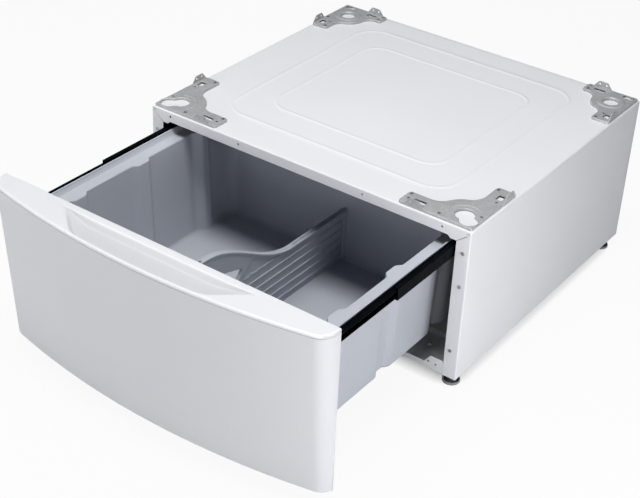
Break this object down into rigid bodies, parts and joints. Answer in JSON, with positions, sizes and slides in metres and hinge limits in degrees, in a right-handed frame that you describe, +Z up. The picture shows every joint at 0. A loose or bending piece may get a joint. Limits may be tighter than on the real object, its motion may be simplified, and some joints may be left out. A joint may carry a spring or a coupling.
{
  "type": "laundry pedestal",
  "caption": "Low white steel stand for a front-loading laundry machine, with a bowed storage drawer, a divided plastic tub, levelling feet and corner brackets.",
  "frame": {"origin": "on the floor, at the centre of the four feet", "axes": "+X to the right seen from the drawer's side, +Y to the rear, +Z up; the drawer opens along -Y"},
  "size_m": [0.686, 1.05, 0.34],
  "materials": {
    "white_paint": "gloss",
    "zinc_plate": "satin",
    "black_steel": "satin",
    "bare_steel": "satin",
    "grey_plastic": "matte",
    "divider_plastic": "matte",
    "cap_plastic": "gloss",
    "black_rubber": "matte"
  },
  "bodies": {
    "cabinet": {"cabinet_wrapper": "white_paint", "rear_panel": "white_paint", "front_bottom_rail": "white_paint", "front_base_channel": "zinc_plate", "rear_base_channel": "zinc_plate", "front_left_bracket": "zinc_plate", "front_right_bracket": "zinc_plate", "rear_left_bracket": "zinc_plate", "rear_right_bracket": "zinc_plate", "left_slide_carrier": "black_steel", "right_slide_carrier": "black_steel", "left_cabinet_slide_member": "black_steel", "right_cabinet_slide_member": "black_steel", "foot_weld_nuts": "zinc_plate", "foot_lock_nuts": "bare_steel", "jamb_screws": "bare_steel", "rear_panel_screws": "bare_steel", "carrier_screws": "bare_steel", "bracket_rivets": "bare_steel"},
    "drawer": {"drawer_front_skin": "white_paint", "drawer_front_cap": "cap_plastic", "drawer_front_back_plate": "white_paint", "drawer_tub": "grey_plastic", "left_drawer_rail": "black_steel", "right_drawer_rail": "black_steel", "left_drawer_slide_member": "black_steel", "right_drawer_slide_member": "black_steel", "drawer_slide_screws": "bare_steel", "drawer_front_screws": "bare_steel", "drawer_bumpers": "black_rubber"},
    "divider": {"drawer_divider": "divider_plastic"},
    "left_middle_slide_member": {"left_middle_slide_member": "black_steel"},
    "left_outer_ball_cage": {"left_outer_ball_cage": "bare_steel"},
    "left_inner_ball_cage": {"left_inner_ball_cage": "bare_steel"},
    "right_middle_slide_member": {"right_middle_slide_member": "black_steel"},
    "right_outer_ball_cage": {"right_outer_ball_cage": "bare_steel"},
    "right_inner_ball_cage": {"right_inner_ball_cage": "bare_steel"},
    "front_left_foot_pad": {"front_left_foot_pad": "black_rubber"},
    "front_left_foot_stud": {"front_left_foot_stud": "bare_steel"},
    "front_right_foot_pad": {"front_right_foot_pad": "black_rubber"},
    "front_right_foot_stud": {"front_right_foot_stud": "bare_steel"},
    "rear_left_foot_pad": {"rear_left_foot_pad": "black_rubber"},
    "rear_left_foot_stud": {"rear_left_foot_stud": "bare_steel"},
    "rear_right_foot_pad": {"rear_right_foot_pad": "black_rubber"},
    "rear_right_foot_stud": {"rear_right_foot_stud": "bare_steel"}
  },
  "joints": [
    {"name": "drawer_slide", "type": "slide", "parent": "cabinet", "child": "drawer", "axis": [0, -1, 0], "range_m": [-0.3555, 0.0895]},
    {"name": "divider_lift", "type": "slide", "parent": "drawer", "child": "divider", "axis": [0, 0, 1], "range_m": [0, 0.115]},
    {"name": "left_middle_slide_member_slide", "type": "slide", "parent": "cabinet", "child": "left_middle_slide_member", "axis": [0, -1, 0], "range_m": [-0.17795, 0.04495]},
    {"name": "left_outer_ball_cage_slide", "type": "slide", "parent": "cabinet", "child": "left_outer_ball_cage", "axis": [0, -1, 0], "range_m": [-0.08908, 0.02257]},
    {"name": "left_inner_ball_cage_slide", "type": "slide", "parent": "cabinet", "child": "left_inner_ball_cage", "axis": [0, -1, 0], "range_m": [-0.26682, 0.06732]},
    {"name": "right_middle_slide_member_slide", "type": "slide", "parent": "cabinet", "child": "right_middle_slide_member", "axis": [0, -1, 0], "range_m": [-0.17795, 0.04495]},
    {"name": "right_outer_ball_cage_slide", "type": "slide", "parent": "cabinet", "child": "right_outer_ball_cage", "axis": [0, -1, 0], "range_m": [-0.08908, 0.02257]},
    {"name": "right_inner_ball_cage_slide", "type": "slide", "parent": "cabinet", "child": "right_inner_ball_cage", "axis": [0, -1, 0], "range_m": [-0.26682, 0.06732]},
    {"name": "front_left_foot_slide", "type": "slide", "parent": "cabinet", "child": "front_left_foot_pad", "axis": [0, 0, -1], "range_m": [0, 0.018]},
    {"name": "front_left_foot_turn", "type": "hinge", "parent": "front_left_foot_pad", "child": "front_left_foot_stud", "pos_m": [-0.322, -0.2835, 0.012], "axis": [0, 0, -1], "range_deg": [0, 4321]},
    {"name": "front_right_foot_slide", "type": "slide", "parent": "cabinet", "child": "front_right_foot_pad", "axis": [0, 0, -1], "range_m": [0, 0.018]},
    {"name": "front_right_foot_turn", "type": "hinge", "parent": "front_right_foot_pad", "child": "front_right_foot_stud", "pos_m": [0.322, -0.2835, 0.012], "axis": [0, 0, -1], "range_deg": [0, 4321]},
    {"name": "rear_left_foot_slide", "type": "slide", "parent": "cabinet", "child": "rear_left_foot_pad", "axis": [0, 0, -1], "range_m": [0, 0.018]},
    {"name": "rear_left_foot_turn", "type": "hinge", "parent": "rear_left_foot_pad", "child": "rear_left_foot_stud", "pos_m": [-0.322, 0.2835, 0.012], "axis": [0, 0, -1], "range_deg": [0, 4321]},
    {"name": "rear_right_foot_slide", "type": "slide", "parent": "cabinet", "child": "rear_right_foot_pad", "axis": [0, 0, -1], "range_m": [0, 0.018]},
    {"name": "rear_right_foot_turn", "type": "hinge", "parent": "rear_right_foot_pad", "child": "rear_right_foot_stud", "pos_m": [0.322, 0.2835, 0.012], "axis": [0, 0, -1], "range_deg": [0, 4321]}
  ],
  "couplings": [
    {"joint": "left_middle_slide_member_slide", "follows": "drawer_slide", "ratio": 0.5},
    {"joint": "left_outer_ball_cage_slide", "follows": "drawer_slide", "ratio": 0.25},
    {"joint": "left_inner_ball_cage_slide", "follows": "drawer_slide", "ratio": 0.75},
    {"joint": "right_middle_slide_member_slide", "follows": "drawer_slide", "ratio": 0.5},
    {"joint": "right_outer_ball_cage_slide", "follows": "drawer_slide", "ratio": 0.25},
    {"joint": "right_inner_ball_cage_slide", "follows": "drawer_slide", "ratio": 0.75},
    {"joint": "front_left_foot_turn", "follows": "front_left_foot_slide", "rad_per_m": 4188.8},
    {"joint": "front_right_foot_turn", "follows": "front_right_foot_slide", "rad_per_m": 4188.8},
    {"joint": "rear_left_foot_turn", "follows": "rear_left_foot_slide", "rad_per_m": 4188.8},
    {"joint": "rear_right_foot_turn", "follows": "rear_right_foot_slide", "rad_per_m": 4188.8}
  ]
}
